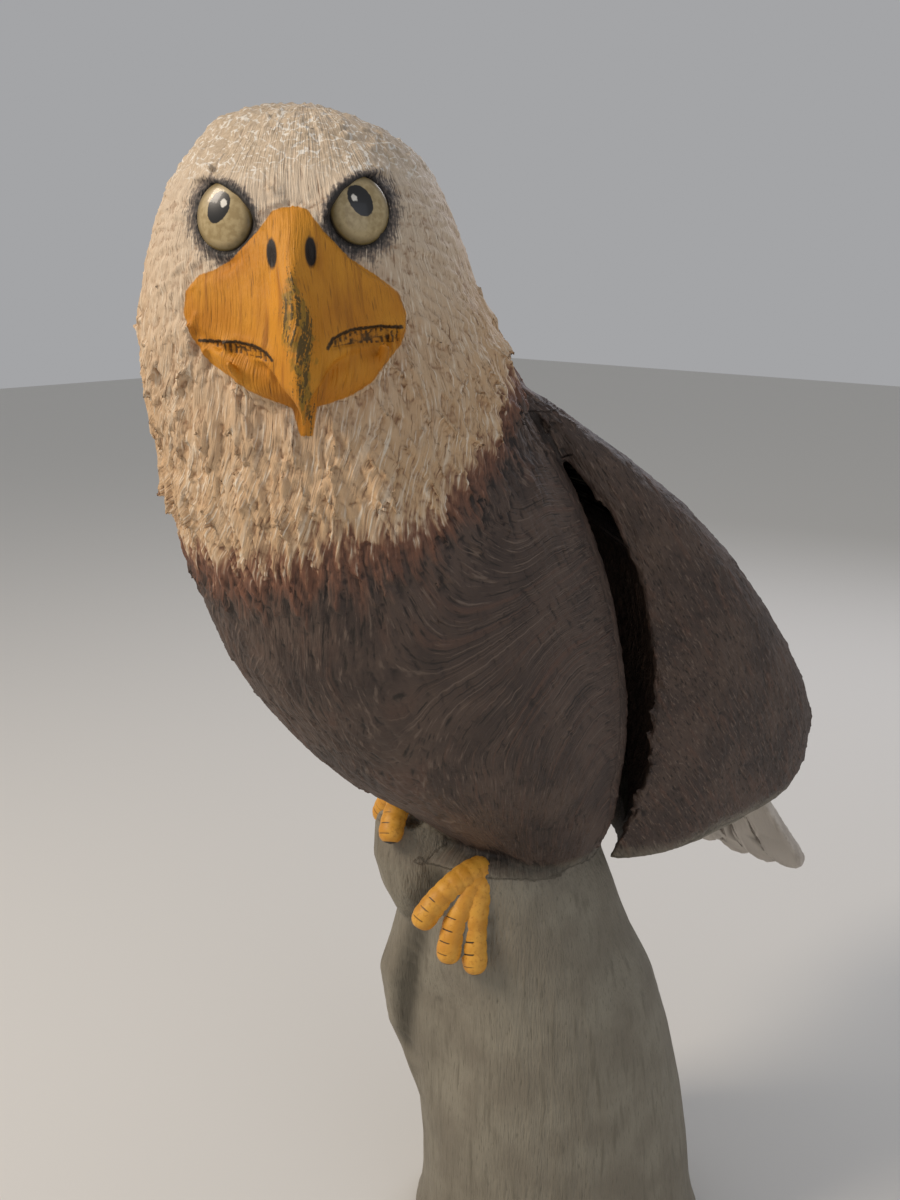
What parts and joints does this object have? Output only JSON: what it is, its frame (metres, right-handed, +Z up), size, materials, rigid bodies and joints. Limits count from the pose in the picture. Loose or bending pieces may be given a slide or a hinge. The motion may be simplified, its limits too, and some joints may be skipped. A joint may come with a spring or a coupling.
{
  "type": "wooden eagle figure",
  "caption": "Painted wooden eagle with folded wings and turned head, carved with its log perch from one piece.",
  "frame": {"origin": "centre of the stump's flat underside", "axes": "+Z up the stump, the bird's body faces -Y and its left side is +X; its head is turned to its left"},
  "size_m": [0.326, 0.7221, 1.004],
  "materials": {
    "painted_wood": "hand-painted carved wood, mostly dark brown, matt to satin"
  },
  "bodies": {
    "root": {"eagle_on_stump": "painted_wood"}
  },
  "joints": []
}
